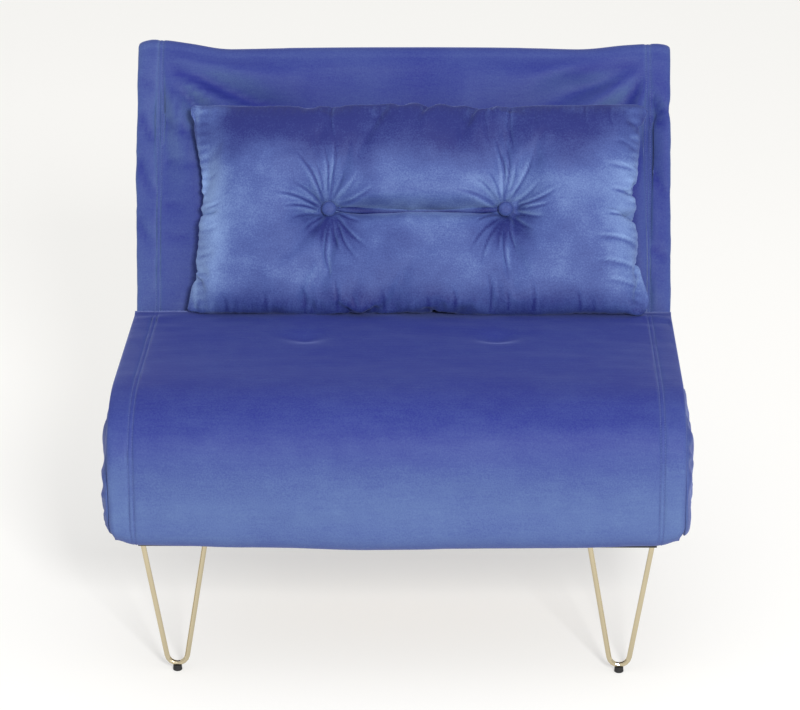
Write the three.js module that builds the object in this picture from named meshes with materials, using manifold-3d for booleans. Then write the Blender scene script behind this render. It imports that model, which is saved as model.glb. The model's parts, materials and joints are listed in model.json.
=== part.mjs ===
// Single-seat futon sofa bed: velvet mattress in sections on a steel frame with hairpin legs.
// Millimetres, +Z up, -Y is the front, X = 0 is the middle, Z = 0 is the floor.
import * as THREE from 'three';
import { mergeVertices } from 'three/addons/utils/BufferGeometryUtils.js';
import Module from 'manifold-3d';
const wasm = await Module();
wasm.setup();

// ---- driving dimensions -------------------------------------------------
const HALF_W = 420;            // half width of the mattress sections
const OUT_W = 450;             // half width over the side rolls
const UNDER_Z = 216;           // lowest fabric
const MID_Z = 329.5;           // height of the fold between the two seat layers
const SEAT_Z = 441;            // top of the seat
const FRONT_Y = -300;          // front of the rounded fold
const FLIP_Y = -235;           // flip hinge, front to back
const BACK_REST = 28;          // backrest lean from vertical, degrees
const BACK_T = 98;             // backrest thickness
const BACK_LEN = 562;          // backrest length along its face, from the pivot
const PIVOT = [128, 300];      // backrest pivot (y, z)
const PIVOT_H = 28;            // pivot depth behind the backrest face
const SKIN = 3;                // cover thickness
const ROD = 4;                 // hairpin rod radius
const LEG_X = 340, LEG_YF = -266, LEG_YR = 318, LEG_SPREAD = 47, LEG_TOP = 211.7;
const FOOT_H = 9, FOOT_R = 7.2;
const RAIL_Z0 = 212.3, RAIL_Z1 = 228;
const GAP = 0.3;
const MID_Y = 77.325;          // half way between the front fold and the top of the backrest

// ---- materials ----------------------------------------------------------
const mat = (color, roughness, metalness = 0) => new THREE.MeshStandardMaterial({ color, roughness, metalness });
const velvet = mat(0x3c4a94, 0.75), foam = mat(0xe8dfae, 0.95), steel = mat(0x1d1e20, 0.5, 0.6);
const brass = mat(0xc9b178, 0.22, 1), rubber = mat(0x141414, 0.85), wood = mat(0xc79a62, 0.6);
const zinc = mat(0xa9adb2, 0.35, 1), fibre = mat(0xf2f2f0, 0.95);

// ---- helpers ------------------------------------------------------------
function solid(geo) {
  const g = geo.index ? geo.clone() : geo.clone();
  g.deleteAttribute('normal'); g.deleteAttribute('uv');
  const m = mergeVertices(g, 1e-4);
  return new wasm.Manifold(new wasm.Mesh({
    numProp: 3, vertProperties: new Float32Array(m.attributes.position.array), triVerts: new Uint32Array(m.index.array) }));
}
function toGeo(man) {
  const m = man.getMesh();
  const g = new THREE.BufferGeometry();
  g.setAttribute('position', new THREE.BufferAttribute(new Float32Array(m.vertProperties), 3));
  g.setIndex(new THREE.BufferAttribute(new Uint32Array(m.triVerts), 1));
  g.computeVertexNormals();
  return g;
}
const boxG = (x0, x1, y0, y1, z0, z1) => {
  const g = new THREE.BoxGeometry(x1 - x0, y1 - y0, z1 - z0);
  g.translate((x0 + x1) / 2, (y0 + y1) / 2, (z0 + z1) / 2);
  return g;
};
const box = (...a) => solid(boxG(...a));
// a side outline (y, z) carried along X from x0 to x1
function sideG(pts, x0, x1) {
  const s = new THREE.Shape(pts.map(p => new THREE.Vector2(p[0], p[1])));
  const g = new THREE.ExtrudeGeometry(s, { depth: x1 - x0, bevelEnabled: false, curveSegments: 8 });
  // shape x -> Y, shape y -> Z, depth -> X
  g.applyMatrix4(new THREE.Matrix4().set(0, 0, 1, x0, 1, 0, 0, 0, 0, 1, 0, 0, 0, 0, 0, 1));
  return g;
}
const side = (pts, x0, x1) => solid(sideG(pts, x0, x1));
const pinX = (y, z, r, x0, x1, n = 20) => {
  const g = new THREE.CylinderGeometry(r, r, x1 - x0, n);
  g.rotateZ(Math.PI / 2); g.translate((x0 + x1) / 2, y, z);
  return solid(g);
};
const root = new THREE.Group();
root.position.y = -MID_Y;                       // origin under the middle of the whole depth
function add(name, man, material, parent = root) {
  const mesh = new THREE.Mesh(man.isBufferGeometry ? man : toGeo(man), material);
  mesh.name = name;
  parent.add(mesh);
  return mesh;
}
const LR = [['left', -1], ['right', 1]];
const span = (s, a, b) => (s > 0 ? [a, b] : [-b, -a]);

// ---- base frame ---------------------------------------------------------
for (const [n, s] of LR) {
  const [a, b] = span(s, 340, 365);
  const [c, d] = span(s, 342, 363);
  add(`base_side_rail_${n}`, box(a, b, -234, 345, RAIL_Z0, RAIL_Z1).subtract(box(c, d, -240, 350, RAIL_Z0 + 2, RAIL_Z1 - 2)), steel);
}
for (const [n, y] of [['front', -234], ['rear', 320]])
  add(`base_${n}_rail`, box(-340 + GAP, 340 - GAP, y, y + 25, RAIL_Z0, RAIL_Z1)
    .subtract(box(-350, 350, y + 2, y + 23, RAIL_Z0 + 2, RAIL_Z1 - 2)), steel);
[-228, -152, -80, -8].forEach((y, i) =>
  add(`base_slat_${i + 1}`, box(-366, 366, y, y + 54, RAIL_Z1 + GAP, RAIL_Z1 + 9.8), wood));

// ---- hairpin legs with mounting plates and rubber feet ------------------
class Hairpin extends THREE.Curve {
  constructor(r) { super(); this.r = r; const top = LEG_TOP - 4, cz = FOOT_H + ROD - 1.5 + r;
    const dx = LEG_SPREAD - r, dz = top - cz; this.t = Math.atan2(dx, dz);
    this.L = Math.hypot(dx, dz); this.cz = cz; this.arc = Math.PI - 2 * this.t; this.top = top; }
  getPoint(u, o = new THREE.Vector3()) {
    const { r, cz, t, top } = this, px = r * Math.cos(t), pz = cz - r * Math.sin(t);
    if (u < 0.3) { const k = u / 0.3; return o.set(-LEG_SPREAD + (LEG_SPREAD - px) * k, 0, top + (pz - top) * k); }
    if (u > 0.7) { const k = (1 - u) / 0.3; return o.set(LEG_SPREAD - (LEG_SPREAD - px) * k, 0, top + (pz - top) * k); }
    const a = Math.PI + t + (u - 0.3) / 0.4 * (Math.PI - 2 * t);
    return o.set(r * Math.cos(a), 0, cz + r * Math.sin(a));
  }
  getPointAt(u, o) { return this.getPoint(u, o); }
  getTangentAt(u, o = new THREE.Vector3()) {
    const a = this.getPoint(Math.max(0, u - 1e-3)), b = this.getPoint(Math.min(1, u + 1e-3));
    return o.copy(b).sub(a).normalize();
  }
}
const ring = new THREE.Shape();
ring.absarc(0, 0, ROD, 0, Math.PI * 2, false);
const hair = new THREE.ExtrudeGeometry(ring, { steps: 20, curveSegments: 10, extrudePath: new Hairpin(16) });
for (const [row, y] of [['front', LEG_YF], ['rear', LEG_YR]])
  for (const [n, s] of LR) {
    const g = hair.clone(); g.translate(s * LEG_X, y, 0);
    const rod = solid(g).subtract(box(s * LEG_X - 20, s * LEG_X + 20, y - 20, y + 20, -5, FOOT_H + 1.2));
    add(`${row}_leg_${n}`, rod.subtract(box(s * LEG_X - 90, s * LEG_X + 90, y - 20, y + 20, LEG_TOP - 4, LEG_TOP + 40)), brass);
    const [y0, y1] = row === 'front' ? [-271, -200] : [296, 345];
    add(`${row}_leg_plate_${n}`, box(s * LEG_X - 54, s * LEG_X + 54, y0, y1, LEG_TOP - 3.7, LEG_TOP + 0.3), steel);
    const prof = [[0, 0], [FOOT_R - 1.2, 0], [FOOT_R, 1.2], [FOOT_R - 0.6, FOOT_H], [0, FOOT_H]].map(p => new THREE.Vector2(...p));
    const f = new THREE.LatheGeometry(prof, 20); f.rotateX(Math.PI / 2); f.translate(s * LEG_X, y, 0);
    add(`${row}_foot_${n}`, solid(f), rubber);
  }

// ---- lower seat section (fixed) -----------------------------------------
const rake = Math.tan(THREE.MathUtils.degToRad(BACK_REST));
const faceY = z => 175 + (z - 448) * rake;          // backrest face line
const clear = 4;
const rear = z => faceY(z) - clear;
const lowOut = [[FLIP_Y + 1, UNDER_Z], [rear(UNDER_Z), UNDER_Z], [rear(MID_Z - 1), MID_Z - 1], [FLIP_Y + 1, MID_Z - 1]];
const lowIn = [[FLIP_Y + 1 + SKIN, UNDER_Z - 20], [rear(UNDER_Z - 20) - SKIN, UNDER_Z - 20], [rear(MID_Z - 1 - SKIN) - SKIN, MID_Z - 1 - SKIN], [FLIP_Y + 1 + SKIN, MID_Z - 1 - SKIN]];
let lowCover = side(lowOut, -HALF_W, HALF_W).subtract(side(lowIn, -HALF_W + SKIN, HALF_W - SKIN));
for (const [n, s] of LR) {                            // the side rails pass under the rear hem
  const [a, b] = span(s, 338, 367);
  lowCover = lowCover.subtract(box(a, b, -300, 200, 150, RAIL_Z1 + 1));
}
lowCover = lowCover.subtract(box(-341, 341, -240, -205, 150, RAIL_Z1 + 1));
add('lower_cover', lowCover, velvet);
const lf = 239;
add('lower_foam', side([[FLIP_Y + 5, lf], [rear(lf) - SKIN - 1, lf], [rear(MID_Z - 5) - SKIN - 1, MID_Z - 5], [FLIP_Y + 5, MID_Z - 5]], -HALF_W + 4, HALF_W - 4), foam);
for (const [n, s] of LR) {
  const [a, b] = span(s, 434, OUT_W);
  add(`side_roll_${n}`, side([[-282, 232], [-262, 219], [30, 219], [52, 240], [62, 300], [50, 345], [-240, 345], [-276, 330], [-288, 285]], a, b), velvet);
}
// rounded front fold that joins the two seat sections
const spine = [];
for (let i = 0; i <= 14; i++) {
  const a = -Math.PI / 2 - Math.PI * i / 14;
  const up = Math.sin(a) > 0;
  spine.push([FLIP_Y - 0.5 + (FRONT_Y - FLIP_Y + 0.5) * Math.pow(Math.abs(Math.cos(a)), up ? 0.8 : 0.45) , up ? MID_Z + (SEAT_Z - 8 - MID_Z) * Math.pow(Math.abs(Math.sin(a)), 0.8) : MID_Z - (MID_Z - UNDER_Z) * Math.pow(Math.abs(Math.sin(a)), 0.6)]);
}
add('front_fold', side(spine.reverse(), -HALF_W, HALF_W), velvet);

// ---- flip hinges at the front -------------------------------------------
for (const [n, s] of LR) {
  const [a, b] = span(s, HALF_W + 1, HALF_W + 4);
  const [c, d] = span(s, HALF_W + 5, HALF_W + 8);
  const [e, f] = span(s, HALF_W + 1, HALF_W + 11);
  const low = side([[FLIP_Y - 9, MID_Z - 3], [FLIP_Y - 9, MID_Z + 6], [FLIP_Y + 9, MID_Z + 6], [FLIP_Y + 60, MID_Z - 20], [FLIP_Y + 60, MID_Z - 44], [FLIP_Y + 20, MID_Z - 44]], a, b);
  add(`flip_hinge_base_${n}`, low.add(pinX(FLIP_Y, MID_Z, 3, e, f)), steel);
  add(`flip_hinge_seat_${n}`, side([[FLIP_Y - 9, MID_Z + 3], [FLIP_Y - 9, MID_Z - 6], [FLIP_Y + 9, MID_Z - 6], [FLIP_Y + 60, MID_Z + 20], [FLIP_Y + 60, MID_Z + 44], [FLIP_Y + 20, MID_Z + 44]], c, d)
    .subtract(pinX(FLIP_Y, MID_Z, 3.3, c - 1, d + 1)), steel);
}

// ---- upper seat section (flips forward) ---------------------------------
const u0 = MID_Z + 1, u1 = SEAT_Z;
const upOut = [[FLIP_Y + 1, u0], [rear(u0), u0], [rear(u1), u1], [FLIP_Y + 1, u1]];
const upIn = [[FLIP_Y + 1 + SKIN, u0 + SKIN], [rear(u0 + SKIN) + 30, u0 + SKIN], [rear(u1 - SKIN) + 30, u1 - SKIN], [FLIP_Y + 1 + SKIN, u1 - SKIN]];
add('seat_cover', side(upOut, -HALF_W, HALF_W).subtract(side(upIn, -HALF_W + SKIN, HALF_W - SKIN)), velvet);
const fy1 = rear(u0) - 8;
add('seat_frame', box(-412, 412, FLIP_Y + 6, fy1, 368, 386).subtract(box(-394, 394, FLIP_Y + 24, fy1 - 18, 360, 390)), steel);
add('seat_foam_top', side([[FLIP_Y + 5, 386.4], [rear(386.4) - 1, 386.4], [rear(u1 - 4) - 1, u1 - 4], [FLIP_Y + 5, u1 - 4]], -HALF_W + 4, HALF_W - 4), foam);
add('seat_foam_bottom', side([[FLIP_Y + 5, u0 + 4], [rear(u0 + 4) - 1, u0 + 4], [rear(367.6) - 1, 367.6], [FLIP_Y + 5, 367.6]], -HALF_W + 4, HALF_W - 4), foam);

// ---- backrest, built upright in its own frame then leaned ----------------
// local: origin at the pivot, +Z along the backrest, face at local y = -PIVOT_H
const back = new THREE.Group();
back.position.set(0, PIVOT[0], PIVOT[1]);
back.rotation.x = -THREE.MathUtils.degToRad(BACK_REST);
root.add(back);
const f0 = -PIVOT_H, f1 = f0 + BACK_T, s0 = 15;
add('back_cover', box(-HALF_W, HALF_W, f0, f1, s0, BACK_LEN).subtract(box(-HALF_W + SKIN, HALF_W - SKIN, f0 + SKIN, f1 - SKIN, s0 - 20, BACK_LEN - SKIN)), velvet, back);
add('back_foam', box(-HALF_W + 4, HALF_W - 4, f0 + 4, f0 + 68, s0 + 4, BACK_LEN - 4), foam, back);
add('back_frame', box(-400, 400, 41, 61, 30, 548).subtract(box(-380, 380, 30, 70, 50, 528)), steel, back);
[180, 350].forEach((z, i) => add(`back_slat_${i + 1}`, box(-379.5, 379.5, 44, 58, z, z + 58), wood, back));
for (const [n, s] of LR) {
  const [a, b] = span(s, 371, 375);
  add(`back_arm_${n}`, side([[-13, -3], [-7, -12], [7, -12], [66, -2], [66, 29.6], [41, 29.6], [41, 14], [-13, 14]], a, b).subtract(pinX(0, 0, 4.3, a - 1, b + 1)), steel, back);
}
for (const [n, s] of LR) {
  const [a, b] = span(s, 366, 370);
  const pts = [[114, RAIL_Z0 + 2], [142, RAIL_Z0 + 2], [142, 300], [138, 310], [128, 314], [118, 310], [114, 300]];
  add(`pivot_bracket_${n}`, side(pts, a, b).subtract(pinX(PIVOT[0], PIVOT[1], 4.3, a - 1, b + 1)), steel);
  const [c, d] = span(s, 365, 378);
  const [e, f] = span(s, 375.6, 379);
  const [g, h] = span(s, 362, 365.6);
  add(`pivot_pin_${n}`, pinX(PIVOT[0], PIVOT[1], 4, c, d).add(pinX(PIVOT[0], PIVOT[1], 7, e, f)).add(pinX(PIVOT[0], PIVOT[1], 7, g, h)), zinc);
}

// ---- pull-out support under the flipped section --------------------------
for (const [n, s] of LR) {
  const [a, b] = span(s, 261, 277.5);
  add(`support_runner_${n}`, box(a, b, -180 + GAP, 290, 191, 207.4), steel);
}
add('support_cross_bar', box(-277.5, 277.5, -200, -180, 191, 207.4), steel);
add('support_leg', box(-257, -245, -194, -14.3, 178.5, 189.5).add(box(245, 257, -194, -14.3, 178.5, 189.5)).add(box(-257, 257, -25, -14.3, 178.5, 189.5)), steel);
for (const [n, s] of LR) add(`support_leg_tip_${n}`, box(s * 225 - 14, s * 225 + 14, -14, -6, 177.5, 190.5), rubber);
// ---- pillow --------------------------------------------------------------
// local frame of the backrest; the pillow stands on the seat and leans on the backrest
const PW = 362, PL0 = 122, PL1 = 450, PT = 105, PX = 24;   // the loose pillow lies 24 mm off the middle
const lens = (hw, z0, z1, t, y1) => {
  const pts = [];
  const n = 8;
  for (let i = 0; i <= n; i++) { const k = i / n; pts.push([y1 - t / 2 - (t / 2) * Math.pow(Math.sin(Math.PI * k), 0.6), z0 + (z1 - z0) * k]); }
  for (let i = n - 1; i > 0; i--) { const k = i / n; pts.push([y1 - t / 2 + (t / 2) * Math.pow(Math.sin(Math.PI * k), 0.6), z0 + (z1 - z0) * k]); }
  return side(pts.reverse(), -hw, hw);
};
const py1 = f0 - 1;
let pcover = lens(PW, PL0, PL1, PT, py1).subtract(lens(PW - SKIN, PL0 + 6, PL1 - 6, PT - 2 * SKIN, py1 - SKIN));
pcover = pcover.subtract(box(-120, 120, py1 - PT / 2 - 3, py1 - PT / 2 + 3, PL0 - 5, PL0 + 22));
const BX = 143, BZ = (PL0 + PL1) / 2;
for (const s of [-1, 1]) pcover = pcover.subtract(box(s * BX - 12, s * BX + 12, py1 - PT - 10, py1 - PT + 6, BZ - 12, BZ + 12));
add('pillow_cover', pcover, velvet, back).position.x = PX;
add('pillow_filling', lens(PW - SKIN - 2, PL0 + 26, PL1 - 12, PT - 2 * SKIN - 16, py1 - SKIN - 8), fibre, back).position.x = PX;
for (const [n, s] of LR) {
  const prof = [[0, -5], [9, -5], [11, -1], [10, 2], [6, 4.5], [0, 5.5]].map(p => new THREE.Vector2(...p));
  const g = new THREE.LatheGeometry(prof, 18); g.rotateX(0); 
  const m = add(`pillow_button_${n}`, g.deleteAttribute('uv') && g, velvet, back);
  m.position.set(PX + s * BX, py1 - PT + 0.5, BZ);
  m.rotation.x = Math.PI;
}
export default root;
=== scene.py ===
import bpy, bmesh, math, json
import numpy as np
from mathutils import Vector, Matrix, noise


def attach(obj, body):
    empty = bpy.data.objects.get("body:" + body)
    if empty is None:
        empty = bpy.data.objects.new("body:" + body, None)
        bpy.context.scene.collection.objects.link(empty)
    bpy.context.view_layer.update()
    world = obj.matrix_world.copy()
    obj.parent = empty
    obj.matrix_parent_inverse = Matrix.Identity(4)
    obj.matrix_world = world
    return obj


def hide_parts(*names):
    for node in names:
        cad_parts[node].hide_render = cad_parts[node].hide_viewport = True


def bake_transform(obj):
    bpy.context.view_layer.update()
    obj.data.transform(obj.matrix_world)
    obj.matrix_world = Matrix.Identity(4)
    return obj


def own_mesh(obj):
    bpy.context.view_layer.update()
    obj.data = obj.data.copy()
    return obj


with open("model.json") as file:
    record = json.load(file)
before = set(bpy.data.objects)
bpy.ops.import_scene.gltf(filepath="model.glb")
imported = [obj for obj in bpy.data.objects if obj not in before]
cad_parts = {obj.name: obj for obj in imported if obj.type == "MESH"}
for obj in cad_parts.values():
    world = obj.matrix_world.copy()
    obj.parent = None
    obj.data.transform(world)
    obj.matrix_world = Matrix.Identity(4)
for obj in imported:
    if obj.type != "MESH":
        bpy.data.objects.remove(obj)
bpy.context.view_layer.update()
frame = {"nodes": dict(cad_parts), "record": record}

OY = 0.077325                      # origin shift of the row frame, as in the CAD
BR = math.radians(28)
PIV = Vector((0, 0.128 - OY, 0.300))
rng = np.random.default_rng(7)
scn = bpy.context.scene

# ------------------------------------------------------------------ helpers
def smooth(a, b, x):
    t = np.clip((x - a) / (b - a), 0, 1)
    return t * t * (3 - 2 * t)

def fbm(p, scale, oct=3, seed=0.0):
    """vector of noise values for an (n,3) array"""
    out = np.empty(len(p))
    sx, sy, sz = scale
    for i, (x, y, z) in enumerate(p):
        out[i] = noise.fractal((x * sx + seed, y * sy + seed * 1.7, z * sz - seed), 1.0, 2.0, oct)
    return out

def mesh_obj(name, verts, faces, smooth_shade=True):
    me = bpy.data.meshes.new(name)
    me.from_pydata([tuple(v) for v in verts], [], faces)
    me.update()
    bm = bmesh.new(); bm.from_mesh(me)
    bmesh.ops.remove_doubles(bm, verts=bm.verts, dist=1e-6)
    bmesh.ops.recalc_face_normals(bm, faces=bm.faces)
    bm.to_mesh(me); bm.free()
    o = bpy.data.objects.new(name, me)
    scn.collection.objects.link(o)
    if smooth_shade:
        me.polygons.foreach_set("use_smooth", [True] * len(me.polygons))
    return o

def coords(o):
    a = np.empty(len(o.data.vertices) * 3)
    o.data.vertices.foreach_get("co", a)
    return a.reshape(-1, 3)

def set_coords(o, a):
    o.data.vertices.foreach_set("co", a.astype(np.float64).ravel())
    o.data.update()

def normals(o):
    a = np.empty(len(o.data.vertices) * 3)
    o.data.vertices.foreach_get("normal", a)
    return a.reshape(-1, 3)

def stroke(x, z, x0, z0, x1, z1, w):
    """0 to 1 along a tapering fold from (x0, z0) to (x1, z1)"""
    L_ = math.hypot(x1 - x0, z1 - z0); tx, tz = (x1 - x0) / L_, (z1 - z0) / L_
    al = (x - x0) * tx + (z - z0) * tz; pe = -(x - x0) * tz + (z - z0) * tx
    pe = pe + 0.06 * L_ * np.sin(al / L_ * 3.1)
    win = smooth(-0.12 * L_, 0.15 * L_, al) * (1 - smooth(0.55 * L_, 1.05 * L_, al))
    return np.exp(-(pe / w) ** 2) * win

def local_slope(o, n, it=14):
    """how far each point's normal tips away from its neighbourhood's"""
    e = np.empty(len(o.data.edges) * 2, int); o.data.edges.foreach_get("vertices", e); e = e.reshape(-1, 2)
    m = n.copy(); deg = np.bincount(e.ravel(), minlength=len(n)).reshape(-1, 1) + 1.0
    for _ in range(it):
        a = m.copy()
        for k in range(3):
            a[:, k] += np.bincount(e[:, 0], m[e[:, 1], k], len(n)) + np.bincount(e[:, 1], m[e[:, 0], k], len(n))
        m = a / deg
    return n - m / np.maximum(np.linalg.norm(m, axis=1, keepdims=True), 1e-6)

def tone_and_painted_light(o, fn):
    """store painted light and shade (from the normals, small folds and creases) with random tone as a point value, 0
    dark to 1 bright
    """
    co, n = coords(o), normals(o)
    sl = local_slope(o, n)
    # painted shade and highlight on small folds: bits tipped upward darker, bits tipped sideways lighter
    v = np.clip(fn(co, n) - 0.55 * sl[:, 2] + 0.25 * np.abs(sl[:, 0]) - 0.06, 0, 1)
    at = o.data.attributes.get("tone_and_painted_light") or o.data.attributes.new("tone_and_painted_light", "FLOAT", "POINT")
    at.data.foreach_set("value", v.astype(np.float32))

def loft(cols, ends=True):
    """closed tube: list of rings (each (n,3)), capped"""
    n = len(cols[0]); verts = np.concatenate(cols); faces = []
    for i in range(len(cols) - 1):
        for j in range(n):
            a, b = i * n + j, i * n + (j + 1) % n
            faces.append((a, b, b + n, a + n))
    faces.append(tuple(range(n))); m = (len(cols) - 1) * n
    faces.append(tuple(range(m + n - 1, m - 1, -1)))
    return verts, faces

# ------------------------------------------------------------------ materials
def velvet(name, dark, mid, light, streak=1.0):
    m = bpy.data.materials.new(name); m.use_nodes = True
    nt = m.node_tree; N, L = nt.nodes, nt.links
    b = N["Principled BSDF"]
    b.inputs["Roughness"].default_value = 0.62
    b.inputs["Specular IOR Level"].default_value = 0.22
    b.inputs["Sheen Weight"].default_value = 0.22
    b.inputs["Sheen Roughness"].default_value = 0.35
    b.inputs["Sheen Tint"].default_value = (0.42, 0.52, 1.0, 1)
    at = N.new("ShaderNodeAttribute"); at.attribute_name = "tone_and_painted_light"
    tc = N.new("ShaderNodeTexCoord")
    mp = N.new("ShaderNodeMapping"); mp.inputs["Scale"].default_value = (7, 60, 60)
    L.new(tc.outputs["Object"], mp.inputs["Vector"])
    n1 = N.new("ShaderNodeTexNoise"); n1.inputs["Scale"].default_value = 3.0; n1.inputs["Detail"].default_value = 6; n1.inputs["Roughness"].default_value = 0.65
    L.new(mp.outputs["Vector"], n1.inputs["Vector"])
    n2 = N.new("ShaderNodeTexNoise"); n2.inputs["Scale"].default_value = 9.0; n2.inputs["Detail"].default_value = 5
    L.new(tc.outputs["Object"], n2.inputs["Vector"])
    n3 = N.new("ShaderNodeTexNoise"); n3.inputs["Scale"].default_value = 430.0; n3.inputs["Detail"].default_value = 2
    L.new(tc.outputs["Object"], n3.inputs["Vector"])
    def math_(op, a, bb):
        k = N.new("ShaderNodeMath"); k.operation = op
        for s, v in zip(k.inputs, (a, bb)):
            if isinstance(v, (int, float)): s.default_value = v
            else: L.new(v, s)
        return k.outputs[0]
    s1 = math_("MULTIPLY", math_("SUBTRACT", n1.outputs["Fac"], 0.5), 0.20 * streak)
    s2 = math_("MULTIPLY", math_("SUBTRACT", n2.outputs["Fac"], 0.5), 0.16)
    s3 = math_("MULTIPLY", math_("SUBTRACT", n3.outputs["Fac"], 0.5), 0.50)
    # base colour: painted light and shade from the point attribute plus noise tone, mapped through the dark-mid-light
    # ramp
    f = math_("ADD", math_("ADD", math_("ADD", at.outputs["Fac"], s1), s2), s3)
    cr = N.new("ShaderNodeValToRGB")
    cr.color_ramp.elements[0].position = 0.0; cr.color_ramp.elements[0].color = (*dark, 1)
    cr.color_ramp.elements[1].position = 1.0; cr.color_ramp.elements[1].color = (*light, 1)
    e = cr.color_ramp.elements.new(0.45); e.color = (*mid, 1)
    L.new(f, cr.inputs["Fac"]); L.new(cr.outputs["Color"], b.inputs["Base Color"])
    bp = N.new("ShaderNodeBump"); bp.inputs["Strength"].default_value = 0.18; bp.inputs["Distance"].default_value = 0.0008
    L.new(n3.outputs["Fac"], bp.inputs["Height"])
    bp2 = N.new("ShaderNodeBump"); bp2.inputs["Strength"].default_value = 0.12; bp2.inputs["Distance"].default_value = 0.004
    L.new(n1.outputs["Fac"], bp2.inputs["Height"]); L.new(bp.outputs["Normal"], bp2.inputs["Normal"])
    L.new(bp2.outputs["Normal"], b.inputs["Normal"])
    return m

M_VEL = velvet("velvet_blue", (0.014, 0.022, 0.180), (0.042, 0.066, 0.225), (0.088, 0.142, 0.300))
M_PIL = velvet("velvet_blue_pillow", (0.012, 0.018, 0.130), (0.052, 0.083, 0.255), (0.175, 0.265, 0.490), 0.7)

def simple(name, color, rough, metal=0.0, nscale=60, namp=0.15, bump=0.1, dist=0.0005, stretch=(1, 1, 1)):
    m = bpy.data.materials.new(name); m.use_nodes = True
    nt = m.node_tree; N, L = nt.nodes, nt.links
    b = N["Principled BSDF"]
    b.inputs["Metallic"].default_value = metal
    tc = N.new("ShaderNodeTexCoord"); mp = N.new("ShaderNodeMapping"); mp.inputs["Scale"].default_value = stretch
    L.new(tc.outputs["Object"], mp.inputs["Vector"])
    n = N.new("ShaderNodeTexNoise"); n.inputs["Scale"].default_value = nscale; n.inputs["Detail"].default_value = 5
    L.new(mp.outputs["Vector"], n.inputs["Vector"])
    cr = N.new("ShaderNodeValToRGB")
    lo = [c * (1 - namp) for c in color]; hi = [min(1, c * (1 + namp)) for c in color]
    cr.color_ramp.elements[0].color = (*lo, 1); cr.color_ramp.elements[1].color = (*hi, 1)
    cr.color_ramp.elements[0].position = 0.3; cr.color_ramp.elements[1].position = 0.7
    L.new(n.outputs["Fac"], cr.inputs["Fac"]); L.new(cr.outputs["Color"], b.inputs["Base Color"])
    mr = N.new("ShaderNodeMapRange"); mr.inputs["To Min"].default_value = rough * 0.85; mr.inputs["To Max"].default_value = min(1, rough * 1.15)
    L.new(n.outputs["Fac"], mr.inputs["Value"]); L.new(mr.outputs["Result"], b.inputs["Roughness"])
    bp = N.new("ShaderNodeBump"); bp.inputs["Strength"].default_value = bump; bp.inputs["Distance"].default_value = dist
    L.new(n.outputs["Fac"], bp.inputs["Height"]); L.new(bp.outputs["Normal"], b.inputs["Normal"])
    return m

MATS = {
    "steel": simple("black_powder_coat", (0.014, 0.014, 0.016), 0.45, 0.0, 900, 0.2, 0.25, 0.0004),
    "brass": simple("pale_gold_plate", (0.56, 0.485, 0.33), 0.13, 1.0, 40, 0.05, 0.03, 0.0002, (1, 1, 0.2)),
    "rubber": simple("black_rubber", (0.008, 0.008, 0.008), 0.7, 0.0, 500, 0.2, 0.2, 0.0003),
    "wood": simple("beech_slat", (0.52, 0.34, 0.17), 0.5, 0.0, 14, 0.25, 0.12, 0.0006, (1, 18, 18)),
    "zinc": simple("zinc_plate", (0.55, 0.56, 0.58), 0.3, 1.0, 120, 0.1, 0.05, 0.0003),
    "foam": simple("cut_foam", (0.78, 0.70, 0.42), 0.95, 0.0, 300, 0.15, 0.5, 0.0015),
    "fibre": simple("fibre_fill", (0.85, 0.85, 0.83), 0.95, 0.0, 90, 0.06, 0.5, 0.003),
    "velvet": M_VEL, "pillow_velvet": M_PIL,
}
M_THREAD = simple("seam_thread", (0.075, 0.105, 0.30), 0.6, 0.0, 700, 0.3, 0.3, 0.0004)
for sp in frame["record"]["subparts"]:
    o = frame["nodes"][sp["node"]]
    m = MATS[sp["material_slot"]]
    if not o.material_slots:
        o.data.materials.append(m)
    for s in o.material_slots:
        s.material = m

# ------------------------------------------------------------------ seat mattress (folded in a C)
SEAM = 0.3985; HW = 0.434
def faceY(z): return 0.175 + (z - 0.448) * math.tan(BR)
def arc(cy, cz, ry, rz, a0, a1, n, e=1.0):
    out = []
    for i in range(n + 1):
        a = math.radians(a0 + (a1 - a0) * i / n); c, s = math.cos(a), math.sin(a)
        out.append((cy + ry * math.copysign(abs(c) ** e, c), cz + rz * math.copysign(abs(s) ** e, s)))
    return out
def line(a, b, step=0.009):
    n = max(1, int(math.dist(a, b) / step))
    return [(a[0] + (b[0] - a[0]) * i / n, a[1] + (b[1] - a[1]) * i / n) for i in range(n)]
rt = (faceY(0.441) - 0.012, 0.441)
outer = []
outer += line((rt[0] + 0.000, 0.436), (rt[0] - 0.010, 0.446), 0.005)
outer += line((rt[0] - 0.010, 0.446), (-0.165, 0.443))
outer += arc(-0.165, 0.335, 0.139, 0.108, 90, 180, 26, 0.86)     # front upper corner
outer += line((-0.304, 0.335), (-0.302, 0.245))[1:]
outer += arc(-0.277, 0.245, 0.025, 0.029, 180, 270, 7)
outer += [(-0.270, 0.219), (-0.262, 0.232)]
outer += line((-0.258, 0.2388), (faceY(0.239) - 0.006, 0.2388), 0.02)
outer += line((faceY(0.239) - 0.006, 0.2388), (faceY(0.3275) - 0.006, 0.3275), 0.015)
outer += line((faceY(0.3275) - 0.006, 0.3275), (-0.226, 0.3276), 0.02)
outer += [(-0.229, 0.3280), (-0.231, 0.3296), (-0.229, 0.3312)]
outer += line((-0.226, 0.3316), (faceY(0.3316) - 0.006, 0.3316), 0.02)
outer += line((faceY(0.3316) - 0.006, 0.3316), (rt[0], 0.436), 0.012)
prof = np.array(outer)
npf = len(prof)

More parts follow.
